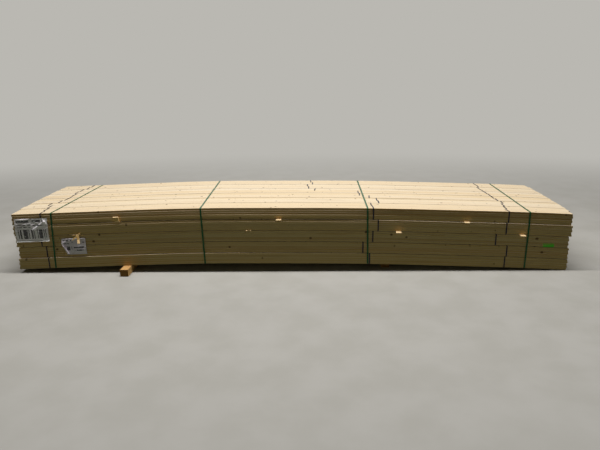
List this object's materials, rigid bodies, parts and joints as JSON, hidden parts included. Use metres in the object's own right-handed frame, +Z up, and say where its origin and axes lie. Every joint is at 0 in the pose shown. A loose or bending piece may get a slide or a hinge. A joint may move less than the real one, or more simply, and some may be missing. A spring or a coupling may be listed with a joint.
{
  "type": "pack of roof battens",
  "caption": "Long strapped pack of sawn softwood roof battens: layers of small banded bundles with thin laths between them, slightly arched, lying on two timber bearers.",
  "frame": {"origin": "centre of the footprint, on the floor under the bearers", "axes": "+X along the battens, towards the right end as seen from the labelled front; +Y from the front to the back; +Z up"},
  "size_m": [5.4746, 1.475, 0.6541],
  "materials": {
    "batten_wood": "sawn",
    "lath_wood": "rough sawn",
    "bearer_wood": "sawn",
    "green_strap": "semi gloss",
    "black_band": "satin",
    "sleeve_film": "glossy film",
    "tag_sheet": "satin"
  },
  "bodies": {
    "root": {"layer_1_battens": "batten_wood", "layer_2_battens": "batten_wood", "layer_3_battens": "batten_wood", "layer_4_battens": "batten_wood", "layer_5_battens": "batten_wood", "layer_1_bands": "black_band", "layer_2_bands": "black_band", "layer_3_bands": "black_band", "layer_4_bands": "black_band", "layer_5_bands": "black_band", "laths_1": "lath_wood", "laths_2": "lath_wood", "laths_3": "lath_wood", "laths_4": "lath_wood", "strap_1": "green_strap", "strap_2": "green_strap", "strap_3": "green_strap", "strap_4": "green_strap", "bearer_left": "bearer_wood", "bearer_right": "bearer_wood", "label_sleeve": "sleeve_film", "label_tag": "tag_sheet"}
  },
  "joints": []
}
